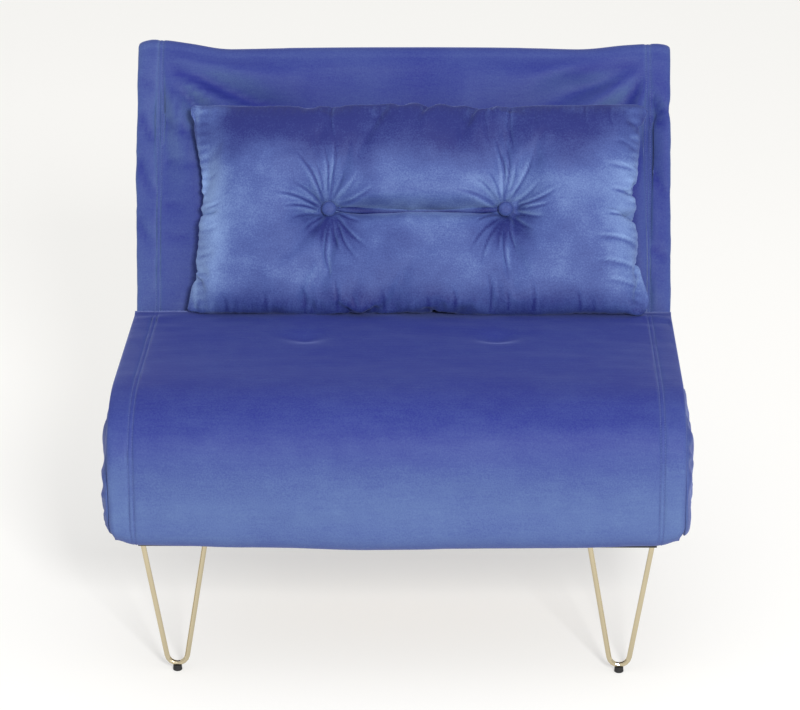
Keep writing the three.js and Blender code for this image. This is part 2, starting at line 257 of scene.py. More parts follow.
xs = [0.0]
while xs[-1] < 0.372: xs.append(xs[-1] + 0.0095)
xs = [x for x in xs if x < 0.374]
xs += [0.3800, 0.3860, 0.3905, 0.3930, 0.3945, 0.3953, 0.3961, 0.3975, 0.3992, 0.4009, 0.4017, 0.4025, 0.4042, 0.4080, 0.4140, 0.4200, 0.4252, 0.4290, 0.4318, 0.4334, 0.4340]
X = np.array([-x for x in reversed(xs[1:])] + xs)

def seat_disp(x, y, z, ny, nz, k):
    """outward offset of the outer skin; k is 0 on inner faces"""
    ax = abs(x)
    d = 0.0
    # crown across the width
    d += 0.006 * (1 - (x / HW) ** 2) * k
    # double-needle seams
    for s in (0.3953, 0.4017):
        d -= 0.0013 * np.exp(-((ax - s) / 0.0010) ** 2) * k
    d -= 0.0008 * np.exp(-((ax - SEAM) / 0.006) ** 2) * k
    # tuft dimples on the seat top
    for tx in (-0.150, 0.152):
        r = np.hypot((x - tx) / 0.040, (y - 0.012) / 0.030)
        d -= 0.009 * np.exp(-r ** 2 * 1.6) * k * max(nz, 0)
    return d

dy = np.roll(prof[:, 0], -1) - np.roll(prof[:, 0], 1); dz = np.roll(prof[:, 1], -1) - np.roll(prof[:, 1], 1)
ln = np.hypot(dy, dz)
# profile runs rear-top -> front -> bottom -> slit -> rear; outward normal by rotation
pn = np.stack([dz / ln, -dy / ln], 1)
if pn[20][1] < 0: pn = -pn
i_bottom = next(i for i in range(npf) if prof[i, 1] < 0.2195 and prof[i, 0] > -0.276)
kk = np.array([1.0 if 3 < i < i_bottom - 4 else 0.0 for i in range(npf)])
kk = np.convolve(np.pad(kk, 3, mode="edge"), np.ones(7) / 7, "valid")
rings = []
for x in X:
    ring = np.empty((npf, 3)); ax = abs(x)
    edge = max(0.0, (ax - 0.4252) / (HW - 0.4252))
    inset = 0.0045 * (1 - math.sqrt(max(0, 1 - edge ** 2)))
    for i in range(npf):
        y, z = prof[i]; ny, nz = pn[i]
        d = seat_disp(x, y, z, ny, nz, kk[i]) - inset * (1 if kk[i] > 0.3 else 0.0)
        ring[i] = (x, y + ny * d - OY, z + nz * d)
    rings.append(ring)
v, f = loft(rings)
seat = mesh_obj("seat_mattress", v, f)
# creases: soft wrinkles near the rear of the bands, across the front, light all over
co = coords(seat); nn = normals(seat)
outerk = np.clip((nn[:, 1] * -1 > -0.2) * 1.0, 0, 1) * (np.abs(nn[:, 0]) < 0.5)
top = (co[:, 2] > 0.335) | (co[:, 1] < -0.25 - OY)
t_ = smooth(0.262, 0.216, co[:, 2]) * (co[:, 1] < -0.235 - OY); a_ = smooth(0.385, 0.434, np.abs(co[:, 0]))
co[:, 0] *= 1 - 0.018 * t_ ** 2 * a_; co[:, 2] += 0.007 * t_ * a_ ** 2
co[:, 2] -= 0.006 * (1 - ((co[:, 0] + 0.05) / HW) ** 2) * smooth(0.27, 0.225, co[:, 2]) * (co[:, 1] < -0.255 - OY)
set_coords(seat, co)
w1 = fbm(co, (5, 9, 14), 3, 1.3); w2 = fbm(co, (9, 34, 34), 3, 4.1)
rearband = smooth(-0.05 - OY, 0.12 - OY, co[:, 1]) * smooth(0.33, 0.40, np.abs(co[:, 0]))
d = (w1 * 0.0022 + w2 * (0.0006 + 0.0032 * rearband)) * top * outerk
set_coords(seat, co + nn * d[:, None])
side_n = np.abs(normals(seat)[:, 0]) > 0.8

def seat_tone_and_painted_light(c, n):
    # painted light: faces turned to the front lighter, most of all low on the front face; top faces stay dark
    up = np.clip(n[:, 2], 0, 1); fr = np.clip(-n[:, 1], 0, 1)
    low = smooth(0.43, 0.26, c[:, 2])
    b = 0.12 + 0.10 * fr + 0.62 * low * fr ** 1.3
    # painted highlight on the strip outside the seams and on the folded side edges
    band = smooth(0.400, 0.404, np.abs(c[:, 0])) * 0.07
    edge = smooth(0.428, 0.4335, np.abs(c[:, 0])) * 0.16
    # painted shade in the front lips of the tuft dimples
    for tx in (-0.150, 0.152):
        q = (c[:, 0] - tx) / 0.030
        b -= 0.22 * np.exp(-((c[:, 1] + OY - 0.004 - 0.006 * q ** 2) / 0.004) ** 2) * np.exp(-q ** 4) * up
    b += 0.06 * fbm(c, (40, 40, 40), 2, 9.0) + 0.05 * fbm(c, (8, 8, 8), 2, 19.0)
    return b + band + edge * fr
tone_and_painted_light(seat, seat_tone_and_painted_light)
seat.data.materials.append(M_VEL)
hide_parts("seat_cover", "lower_cover", "front_fold", "seat_foam_top", "seat_foam_bottom", "lower_foam")
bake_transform(seat)

# ------------------------------------------------------------------ gathered side rolls
for nm, s in (("left", -1), ("right", 1)):
    pts = []
    ctrl = [(-0.262, 0.222), (-0.20, 0.218), (-0.08, 0.221), (0.02, 0.222), (0.047, 0.245), (0.060, 0.295), (0.052, 0.350), (0.0, 0.388), (-0.12, 0.398), (-0.205, 0.396), (-0.262, 0.372), (-0.297, 0.315), (-0.296, 0.255)]
    c = np.array(ctrl); n = len(c)
    outl = []
    for i in range(n):                      # Catmull-Rom outline
        p0, p1, p2, p3 = c[i - 1], c[i], c[(i + 1) % n], c[(i + 2) % n]
        for t in np.linspace(0, 1, 9)[:-1]:
            outl.append(0.5 * ((2 * p1) + (-p0 + p2) * t + (2 * p0 - 5 * p1 + 4 * p2 - p3) * t * t + (-p0 + 3 * p1 - 3 * p2 + p3) * t ** 3))
    outl = np.array(outl); cen = outl.mean(0)
    verts, faces = [], []
    R = 22; m = len(outl)
    for k in range(R):
        q = 1 - (k / R) ** 1.0
        r = math.sin(q * math.pi / 2) if q < 1 else 1.0
        for p in outl:
            pp = cen + (p - cen) * q
            bulge = (1 - q ** 4.5) ** 0.5
            verts.append((s * (0.4342 + 0.0175 * bulge), pp[0] - OY, pp[1]))
    verts.append((s * (0.4342 + 0.0175), cen[0] - OY, cen[1])); tip = len(verts) - 1
    b0 = len(verts)
    for p in outl:
        pp = cen + (p - cen) * 0.97
        verts.append((s * 0.4322, pp[0] - OY, pp[1]))
    for k in range(R - 1):
        for j in range(m):
            a, b = k * m + j, k * m + (j + 1) % m
            faces.append((a, b, b + m, a + m))
    for j in range(m):
        faces.append(((R - 1) * m + j, (R - 1) * m + (j + 1) % m, tip))
        faces.append((j, (j + 1) % m, b0 + (j + 1) % m, b0 + j))
    faces.append(tuple(range(b0, b0 + m)))
    o = mesh_obj(f"side_gusset_{nm}", verts, faces)
    o.modifiers.new("s", "SUBSURF").levels = 1
    dg = bpy.context.evaluated_depsgraph_get()
    me = bpy.data.meshes.new_from_object(o.evaluated_get(dg)); o.modifiers.clear(); o.data = me
    co = coords(o); nn = normals(o)
    # diagonal gathers, stronger along the front edge
    u = (co[:, 1] + OY) * 0.8 + co[:, 2] * 1.0
    g = np.sqrt(0.03 + np.sin(u * 46 + 4.5 * fbm(co, (1, 7, 7), 3, 2.0 + s)) ** 2)
    front = smooth(0.06, -0.26, co[:, 1] + OY)
    dd = (-0.0040 * g * (0.35 + 0.65 * front) + 0.003 * fbm(co, (10, 12, 12), 3, 6 + s)) * smooth(0.4365, 0.4450, np.abs(co[:, 0]))
    set_coords(o, co + nn * dd[:, None])
    # painted light: front-facing parts of the side rolls lighter; also lighter towards the bottom
    tone_and_painted_light(o, lambda c, n, s=s: 0.22 + 0.42 * np.clip(-n[:, 1], 0, 1) + 0.12 * smooth(0.36, 0.25, c[:, 2]))
    o.data.materials.append(M_VEL)
    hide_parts(f"side_roll_{nm}"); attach(o, "base")
    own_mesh(o)

# ------------------------------------------------------------------ backrest cushion
d_s = Vector((0, math.sin(BR), math.cos(BR))); d_b = Vector((0, math.cos(BR), -math.sin(BR)))
def to_world(a):
    """(x, depth behind, up along the back) -> row frame"""
    a = np.asarray(a)
    out = np.empty_like(a)
    out[:, 0] = a[:, 0]
    out[:, 1] = PIV.y + a[:, 1] * d_b.y + a[:, 2] * d_s.y
    out[:, 2] = PIV.z + a[:, 1] * d_b.z + a[:, 2] * d_s.z
    return out
F0, F1, S0, S1 = -0.028, 0.070, 0.006, 0.584
bp = []
bp += line((F0, S0 + 0.012), (F0, S1 - 0.020), 0.009)
bp += arc(F0 + 0.020, S1 - 0.020, 0.020, 0.020, 180, 90, 6)
bp += line((F0 + 0.020, S1), (F1 - 0.022, S1), 0.008)[1:]
bp += arc(F1 - 0.022, S1 - 0.022, 0.022, 0.022, 90, 0, 6)
bp += line((F1, S1 - 0.022), (F1, S0 + 0.012), 0.010)[1:]
bp += arc(F1 - 0.012, S0 + 0.012, 0.012, 0.012, 0, -90, 3)
bp += line((F1 - 0.012, S0), (F0 + 0.012, S0), 0.02)[1:]
bp += arc(F0 + 0.012, S0 + 0.012, 0.012, 0.012, 270, 180, 3)[:-1]
bp = np.array(bp); nb = len(bp)
dy = np.roll(bp[:, 0], -1) - np.roll(bp[:, 0], 1); dz = np.roll(bp[:, 1], -1) - np.roll(bp[:, 1], 1)
ln = np.hypot(dy, dz); bn = np.stack([dz / ln, -dy / ln], 1)
if bn[10][0] > 0: bn = -bn
rings = []
for x in X:
    ax = abs(x); ring = np.empty((nb, 3))
    edge = max(0.0, (ax - 0.4252) / (HW - 0.4252)); inset = 0.006 * (1 - math.sqrt(max(0, 1 - edge ** 2)))
    ear = (0.018 if x < 0 else 0.011) * float(smooth(0.28, 0.415, np.array(ax))) * (1 - 0.22 * float(smooth(0.412, 0.434, np.array(ax))))
    for i in range(nb):
        y, z = bp[i]; n0, n1 = bn[i]
        d = 0.006 * (1 - (x / HW) ** 2) * (1 if n0 < -0.3 else 0.4) - inset
        for s in (0.3953, 0.4017): d -= 0.0013 * np.exp(-((ax - s) / 0.0010) ** 2)
        d -= 0.0008 * np.exp(-((ax - SEAM) / 0.006) ** 2)
        if abs(z - (S1 - 0.016)) < 0.0045 and n0 < -0.5: d -= 0.0022
        up = ear * float(smooth(0.40, 0.560, np.array(z)))
        ring[i] = (x + (0.004 if x > 0 else -0.006) * float(smooth(0.1, 0.5, np.array(z))) * (ax / HW) ** 6, y + n0 * d, z + n1 * d + up)
    rings.append(ring)
v, f = loft(rings)
back = mesh_obj("backrest_cushion", v, f)
co = coords(back); nn = normals(back)
xx, ss = co[:, 0], co[:, 2]
front = (nn[:, 1] < -0.3) * 1.0
# drape folds fanning down from the corners
d = 0.0060 * fbm(co, (4, 4, 4), 3, 0.7) + 0.0022 * fbm(co, (16, 16, 7), 3, 31.0) * front
for sgn, (ox, oz) in ((-1, (-0.40, 0.57)), (1, (0.41, 0.57))):
    rx = (xx - ox) * -sgn; rz = oz - ss
    ang = np.arctan2(rz, np.maximum(rx, 1e-4)); rad = np.hypot(rx, rz)
    wv = np.sin(ang * 11 + 1.2 * fbm(co, (6, 6, 6), 2, 3 + sgn))
    d += 0.0115 * wv * np.exp(-((rad - 0.12) / 0.12) ** 2) * smooth(-0.03, 0.02, rx) * smooth(0.02, 0.11, rad) * front
band = smooth(0.402, 0.408, np.abs(xx))
d += 0.0045 * band * fbm(co, (14, 14, 20), 3, 9.0)
crease = np.exp(-((ss - 0.475 - 0.25 * (np.abs(xx) - 0.41)) / 0.012) ** 2) * band * (xx > 0)
d -= 0.009 * crease
d += 0.0060 * np.sin(xx * 70 + 2 * fbm(co, (2, 2, 5), 2, 5.0)) * smooth(0.35, 0.39, xx) * smooth(0.54, 0.40, ss) * front * (1 - band)
d += 0.003 * fbm(co, (7, 7, 26), 3, 11.0) * smooth(0.30, 0.10, ss) * front * smooth(0.30, 0.40, np.abs(xx))
d *= 1 - 0.92 * smooth(0.535, 0.562, ss)
d *= 1 - 0.72 * smooth(0.405, 0.430, np.abs(xx))
bfold = np.zeros(len(co))
for (x0, z0, x1, z1, w, dep) in (
        (-0.385, 0.552, -0.16, 0.480, 0.010, 1.0), (-0.385, 0.520, -0.27, 0.468, 0.009, 0.8), (-0.392, 0.462, -0.335, 0.428, 0.008, 0.8),
        (-0.392, 0.395, -0.33, 0.385, 0.007, 0.6), (-0.392, 0.320, -0.34, 0.316, 0.006, 0.5), (-0.392, 0.270, -0.34, 0.268, 0.006, 0.5),
        (-0.434, 0.475, -0.405, 0.420, 0.008, 0.9), (-0.434, 0.400, -0.405, 0.330, 0.009, 0.8), (-0.434, 0.300, -0.408, 0.250, 0.008, 0.7), (-0.434, 0.535, -0.406, 0.512, 0.007, 0.6),
        (0.385, 0.556, 0.22, 0.515, 0.009, 0.8), (0.388, 0.530, 0.362, 0.400, 0.008, 1.0), (0.392, 0.430, 0.384, 0.150, 0.006, 0.9), (0.372, 0.400, 0.378, 0.180, 0.006, 0.7),
        (0.405, 0.500, 0.436, 0.470, 0.006, 1.0), (0.405, 0.470, 0.436, 0.455, 0.005, 0.8), (0.410, 0.380, 0.436, 0.330, 0.008, 0.6), (0.405, 0.250, 0.436, 0.230, 0.008, 0.6)):
    bfold += dep * stroke(xx, ss, x0, z0, x1, z1, w)
    d += 0.35 * 0.0058 * dep * stroke(xx, ss, x0, z0 + 2.0 * w, x1, z1 + 2.0 * w, w * 1.2) * front
bfold *= front
d -= 0.0058 * bfold
rear = (nn[:, 1] > 0.5) * 1.0
d += rear * (0.003 * fbm(co, (6, 6, 3), 3, 15.0) + 0.004 * (1 - (xx / HW) ** 2))
d *= 1 - rear * (1 - smooth(0.15, 0.45, ss))
co2 = co + nn * d[:, None]
co2[:, 1] = np.minimum(co2[:, 1], F1 - 0.0016 + 0.020 * smooth(0.20, 0.52, co2[:, 2]))   # clears the rails when laid flat
set_coords(back, to_world(co2))
def back_tone_and_painted_light(c, n):
    zl = (c[:, 1] - PIV.y) * d_s.y + (c[:, 2] - PIV.z) * d_s.z
    b = 0.25 + 0.10 * fbm(c, (4, 4, 2.5), 2, 2.2)
    # painted light: faces turned sideways, and faces turned upward, lighter
    b += 0.30 * np.clip(np.abs(n[:, 0]), 0, 1) + 0.10 * np.clip(n[:, 2] - 0.5, 0, 1)
    # painted highlight on the left strip outside the seams; painted shade over the right side
    b += 0.10 * smooth(0.402, 0.406, np.abs(c[:, 0])) * (c[:, 0] < 0)
    b -= 0.05 * smooth(0.35, 0.40, c[:, 0])
    # random tone, and painted shade in the drape folds
    b += 0.10 * fbm(c, (9, 9, 4), 3, 3.3) - 0.38 * bfold
    b += 0.05 * smooth(0.40, 0.20, zl)
    return b
tone_and_painted_light(back, back_tone_and_painted_light)
back.data.materials.append(M_VEL)
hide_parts("back_cover", "back_foam"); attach(back, "backrest")

# ------------------------------------------------------------------ seam threads (rows of stitches)
def stitches(name, path_pts, nrm, body, step=0.0042, ln_=0.0030, r=0.00045, blend=False):
    """short thread loops along a polyline; nrm gives the outward normal per point"""
    P = np.array(path_pts); Nn = np.array(nrm)
    seg = np.linalg.norm(np.diff(P, axis=0), axis=1); cum = np.concatenate([[0], np.cumsum(seg)])
    verts, faces = [], []
    t = 0.002
    while t + ln_ < cum[-1]:
        q = []
        for tt in (t, t + ln_ / 2, t + ln_):
            j = min(np.searchsorted(cum, tt, side="right") - 1, len(seg) - 1); u = (tt - cum[j]) / seg[j]
            q.append((P[j] * (1 - u) + P[j + 1] * u, Nn[j]))
        dirv = q[2][0] - q[0][0]; dirv /= np.linalg.norm(dirv)
        base = len(verts)
        for k, (p, n) in enumerate(q):
            sidev = np.cross(dirv, n); sidev /= np.linalg.norm(sidev)
            h = (0.0001, 0.0007, 0.0001)[k]; rr = r * (0.6 if k != 1 else 1)
            for a in range(5):
                an = a / 5 * 2 * math.pi
                verts.append(p + n * (h + rr * math.sin(an)) + sidev * rr * 1.1 * math.cos(an))
        for k in range(2):
            for a in range(5):
                i0, i1 = base + k * 5 + a, base + k * 5 + (a + 1) % 5
                faces.append((i0, i1, i1 + 5, i0 + 5))
        faces.append(tuple(base + a for a in range(4, -1, -1))); faces.append(tuple(base + 10 + a for a in range(5)))
        t += step
    o = mesh_obj(name, verts, faces)
    o.data.materials.append(M_THREAD)
    return o

def seam_rows(prefix, obj, npts, i0, i1, body, blend_=False):
    c, n = coords(obj), normals(obj)
    for s in (-1, 1):
        for k, xv in enumerate((0.3953, 0.4017)):
            xi = int(np.argmin(np.abs(X - s * xv)))
            idx = [xi * npts + i for i in range(i0, i1)]
            o = stitches(f"{prefix}_{'left' if s < 0 else 'right'}_{k + 1}", c[idx], n[idx], body)
            if blend_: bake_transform(o)
            else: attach(o, body)
assert len(coords(seat)) == npf * len(X) and len(coords(back)) == nb * len(X)
seam_rows("seat_seam", seat, npf, 6, i_bottom - 1, "seat", True)
seam_rows("back_seam", back, nb, 2, nb // 2 + 40, "backrest")

# ------------------------------------------------------------------ pillow: cloth simulation
PWX, PHZ = 0.388, 0.177           # half sizes of the flat case
NX, NZ = 72, 34
BXP = 0.143; PX = 0.024
def build_pillow():
    verts, faces, idx = [], [], {}
    def vid(i, j, sd):
        key = (i, j, 0 if i in (0, NX) or j in (0, NZ) else sd)
        if key not in idx:
            u, w = i / NX * 2 - 1, j / NZ * 2 - 1
            x = PWX * u; z = PHZ * w
            th = 0.012 * (1 - u ** 8) * (1 - w ** 8) * (1 if sd else -1) * (key[2] != 0 or not (i in (0, NX) or j in (0, NZ)))
            if i in (0, NX) or j in (0, NZ): th = 0
            jit = 0.0006 * math.sin(i * 12.9898 + j * 78.233 + sd * 3.1)
            # distances into the corners of the case; not applied to the points
            cx = max(0, abs(u) - 0.93) / 0.07; cz = max(0, abs(w) - 0.85) / 0.15
            idx[key] = len(verts)
            verts.append((x, th + jit, z))
        return idx[key]
    for sd in (0, 1):
        for i in range(NX):
            for j in range(NZ):
                q = (vid(i, j, sd), vid(i + 1, j, sd), vid(i + 1, j + 1, sd), vid(i, j + 1, sd))
                faces.append(q if sd == 0 else q[::-1])
    return verts, faces
v, f = build_pillow()
pil = mesh_obj("lumbar_pillow", v, f)
me = pil.data
vg = pil.vertex_groups.new(name="pin")
co = coords(pil)
for vi, c in enumerate(co):
    for s in (-1, 1):
        if math.hypot(c[0] - s * BXP, c[2]) < 0.0085:
            vg.add([vi], 1.0, "REPLACE")
bpy.context.view_layer.objects.active = pil
cl = pil.modifiers.new("cloth", "CLOTH")
st = cl.settings
st.quality = 6; st.mass = 0.25
st.tension_stiffness = 22; st.compression_stiffness = 22; st.shear_stiffness = 9; st.bending_stiffness = 0.18
st.tension_damping = 12; st.compression_damping = 12; st.shear_damping = 8
st.use_pressure = True; st.uniform_pressure_force = 9.0
st.vertex_group_mass = "pin"; st.pin_stiffness = 1.0
st.effector_weights.gravity = 0.0
cl.collision_settings.use_collision = False; cl.collision_settings.use_self_collision = False
scn.frame_start = 1
cl.point_cache.frame_start = 1; cl.point_cache.frame_end = 40
for fr in range(1, 27):
    scn.frame_set(fr)
dg = bpy.context.evaluated_depsgraph_get()
me2 = bpy.data.meshes.new_from_object(pil.evaluated_get(dg))
pil.modifiers.clear(); pil.vertex_groups.clear(); pil.data = me2
scn.frame_set(1)
co = coords(pil)
print("pillow after cloth", co.min(0), co.max(0))
# keep the puff within the case's depth
half = 0.058
co[:, 1] = np.tanh(co[:, 1] / half * 0.95) * half
# the outline of the sewn case: side edges drawn in a little between the corners
def bins(t, val, lo, hi, n, pick):
    c = np.linspace(lo, hi, n); out = np.empty(n)
    for i, q in enumerate(c):
        sel = np.abs(t - q) < (hi - lo) / n
        out[i] = pick(val[sel]) if sel.any() else np.nan
    ok = ~np.isnan(out); out = np.interp(c, c[ok], out[ok])
    k = np.exp(-np.linspace(-1.6, 1.6, 7) ** 2); k /= k.sum()
    return c, np.convolve(np.pad(out, 3, mode="edge"), k, "valid")
for it in range(2):
    xl = np.abs(co[:, 0]).max()
    c1, up = bins(co[:, 0], co[:, 2], -xl, xl, 91, np.max); c1, dn = bins(co[:, 0], co[:, 2], -xl, xl, 91, np.min)
    tu = 0.177 - 0.006 * np.exp(-((np.abs(co[:, 0]) - 0.19) / 0.13) ** 2); td = -0.173 + 0.003 * np.cos(co[:, 0] * 22)
    u_, d_ = np.interp(co[:, 0], c1, up), np.interp(co[:, 0], c1, dn)
    co[:, 2] = np.where(co[:, 2] > 0, co[:, 2] * tu / u_, co[:, 2] * td / d_)
    c2, rt_ = bins(co[:, 2], co[:, 0], -0.171, 0.171, 49, np.max); c2, lf_ = bins(co[:, 2], co[:, 0], -0.171, 0.171, 49, np.min)
    zz = co[:, 2] / 0.171
    tr = 0.376 - 0.022 * np.maximum(0, 1 - zz ** 2) ** 0.8
    co[:, 0] = np.where(co[:, 0] > 0, co[:, 0] * (1 + (tr / np.interp(co[:, 2], c2, rt_) - 1) * smooth(0.14, 0.34, co[:, 0])), co[:, 0] * (1 + (-tr / np.interp(co[:, 2], c2, lf_) - 1) * smooth(0.14, 0.34, -co[:, 0])))
set_coords(pil, co)
# the filling bridges the hollow between the buttons and outside them
fs = co[:, 1] < 0.002
for lo_, hi_ in ((-0.34, 0.34),):
    ring = fs & (np.abs(co[:, 2]) > 0.050) & (np.abs(co[:, 2]) < 0.066)
    cc = np.linspace(lo_, hi_, 69); yr = np.array([co[ring & (np.abs(co[:, 0] - q) < 0.012), 1].mean() if (ring & (np.abs(co[:, 0] - q) < 0.012)).any() else np.nan for q in cc])
    yr = np.interp(cc, cc[~np.isnan(yr)], yr[~np.isnan(yr)]); yr = np.convolve(np.pad(yr, 4, mode="edge"), np.ones(9) / 9, "valid")
    ax_ = np.abs(co[:, 0])
    kx = np.clip(smooth(0.118, 0.080, ax_) + smooth(0.172, 0.215, ax_) * smooth(0.345, 0.315, ax_), 0, 1)
    kz = smooth(0.056, 0.036, np.abs(co[:, 2]))
    tgt = np.interp(co[:, 0], cc, yr) - 0.003 * (1 - (co[:, 2] / 0.056) ** 2)
    k_ = kx * kz * fs
    print("hollow filled by up to", float((k_ * (co[:, 1] - tgt)).max()))
    co[:, 1] = co[:, 1] * (1 - k_) + tgt * k_
ed_ = np.empty(len(pil.data.edges) * 2, dtype=np.int32); pil.data.edges.foreach_get("vertices", ed_); ed_ = ed_.reshape(-1, 2)
deg = np.bincount(ed_.ravel(), minlength=len(co)).astype(float)
ax_ = np.abs(co[:, 0]); rb = np.hypot(ax_ - BXP, co[:, 2])
kw = np.clip(smooth(0.160, 0.200, ax_) * smooth(0.352, 0.325, ax_) * smooth(0.075, 0.045, np.abs(co[:, 2])) + smooth(0.125, 0.090, ax_) * smooth(0.070, 0.045, np.abs(co[:, 2])), 0, 1) * fs
kw = np.maximum(kw, 0.35 * smooth(0.0086, 0.012, rb) * smooth(0.050, 0.030, rb) * fs) * smooth(0.0086, 0.0100, rb)
for it in range(14):
    av = np.zeros_like(co); np.add.at(av, ed_[:, 0], co[ed_[:, 1]]); np.add.at(av, ed_[:, 1], co[ed_[:, 0]])
    co = co + (av / deg[:, None] - co) * (0.6 * kw)[:, None]
set_coords(pil, co)
sm = pil.modifiers.new("sub", "SUBSURF"); sm.levels = 2
dg = bpy.context.evaluated_depsgraph_get()
me2 = bpy.data.meshes.new_from_object(pil.evaluated_get(dg)); pil.modifiers.clear(); pil.data = me2
co = coords(pil); nn = normals(pil)
x, y, z = co[:, 0], co[:, 1], co[:, 2]
fr = smooth(0.004, -0.004, y)
d = np.zeros(len(co)); inw = np.zeros(len(co)); crease_map = np.zeros(len(co)); ridge_map = np.zeros(len(co))
RAYS = ((86, .016, .115, .0022, 1.0), (95, .020, .100, .0020, .9), (121, .022, .105, .0022, 1.0), (108, .030, .080, .0018, .6), (146, .016, .075, .0020, .6),
        (166, .014, .090, .0024, .9), (181, .016, .075, .0022, .8), (200, .018, .065, .0020, .6), (226, .016, .060, .0022, .6), (262, .018, .075, .0020, .9),
        (272, .022, .120, .0022, 1.0), (284, .020, .080, .0020, .8), (298, .022, .105, .0020, .8), (313, .018, .095, .0022, .9), (335, .016, .060, .0020, .7),
        (24, .016, .085, .0022, .7), (48, .018, .075, .0020, .5), (68, .020, .070, .0018, .5))
for s in (-1, 1):
    dx, dz_ = x - s * BXP, z
    r = np.hypot(dx, dz_); th = np.arctan2(dz_, dx)
    wv = np.sin(th * 7 + 1.5 * np.sin(th * 2 + s))
    d += 0.0028 * wv * np.exp(-((r - 0.040) / 0.030) ** 2) * fr * smooth(0.008, 0.024, r)
    inw += 0.006 * np.exp(-(r / 0.016) ** 2) * fr
    for (a, r0, r1, w, k) in RAYS:
        aa = math.radians(a if s < 0 else 180 - a + 5)
        q = stroke(dx, dz_, r0 * math.cos(aa), r0 * math.sin(aa), r1 * math.cos(aa), r1 * math.sin(aa), w)
        crease_map += k * q
        q2 = stroke(dx + 0.0040 * math.sin(aa), dz_ - 0.0040 * math.cos(aa), r0 * math.cos(aa), r0 * math.sin(aa), r1 * math.cos(aa), r1 * math.sin(aa), w * 1.3)
        ridge_map += k * q2
# crease between the buttons
span = np.exp(-((np.abs(x) / 0.136) ** 10))
zc = 0.003 - 0.007 * (1 - (x / 0.143) ** 2)
line_ = np.exp(-((z - zc) / 0.0026) ** 2) * span
crease_map += 1.5 * line_
ridge_map += 1.0 * np.exp(-((z - zc - 0.0062) / 0.0035) ** 2) * span + 0.7 * np.exp(-((z - zc + 0.007) / 0.004) ** 2) * span
inw += (0.0050 * np.exp(-((z - zc) / 0.012) ** 2) + 0.0035 * np.exp(-((z - zc) / 0.0035) ** 2)) * span * fr
# gathers from the lower and upper seams
for (gx0, sd, ln, k) in ((-0.305, -1, .018, .4), (-0.242, -1, .022, .45), (-0.180, -1, .035, .6), (-0.128, -1, .040, .6), (-0.100, -1, .020, .4), (-0.052, -1, .030, .5), (0.020, -1, .018, .35), (0.062, -1, .028, .5), (0.118, -1, .050, .7), (0.147, -1, .030, .5), (0.188, -1, .038, .6), (0.262, -1, .026, .5), (0.285, -1, .018, .35),
        (-0.14, 1, .05, .8), (-0.06, 1, .03, .4), (0.06, 1, .03, .4), (0.11, 1, .05, .8), (0.15, 1, .06, .9), (0.19, 1, .04, .6), (0.27, 1, .04, .6), (0.31, 1, .03, .5)):
    q = stroke(x, z, gx0, sd * 0.168, gx0 + 0.006 * sd, sd * (0.168 - ln * 1.3), 0.0026)
    crease_map += k * q; ridge_map += 0.8 * k * stroke(x - 0.005, z, gx0, sd * 0.168, gx0, sd * (0.168 - ln * 1.2), 0.003)
for (gz0, sd, ln, k) in ((0.10, 1, .04, .6), (0.06, 1, .05, .7), (0.02, 1, .045, .6), (-0.02, 1, .05, .8), (-0.06, 1, .07, 1.0), (-0.10, 1, .07, .9), (-0.13, 1, .05, .7), (0.05, -1, .03, .4), (0.0, -1, .04, .5), (-0.04, -1, .035, .5), (-0.08, -1, .03, .4)):
    q = stroke(x, z, sd * 0.352, gz0, sd * (0.352 - ln), gz0 + 0.008, 0.0026)
    crease_map += k * q; ridge_map += 0.8 * k * stroke(x, z - 0.005, sd * 0.352, gz0, sd * (0.352 - ln), gz0 + 0.008, 0.003)
crease_map = np.clip(crease_map, 0, 1.8) * fr; ridge_map = np.clip(ridge_map, 0, 1.2) * fr
d -= 0.0030 * crease_map
d += 0.0013 * ridge_map
d += 0.0030 * fbm(co, (11, 11, 9), 3, 21.0) * fr
ex = 0.358 - np.abs(x); ez = 0.168 - np.abs(z)
d += 0.0009 * (np.sin(x * 410 + 3 * fbm(co, (9, 1, 1), 2, 3.0)) * np.exp(-((ez - 0.006) / 0.007) ** 2) + np.sin(z * 430) * np.exp(-((ex - 0.008) / 0.010) ** 2))
pil_x, pil_z = x.copy(), z.copy()
co = co + nn * d[:, None]
co[:, 1] += inw
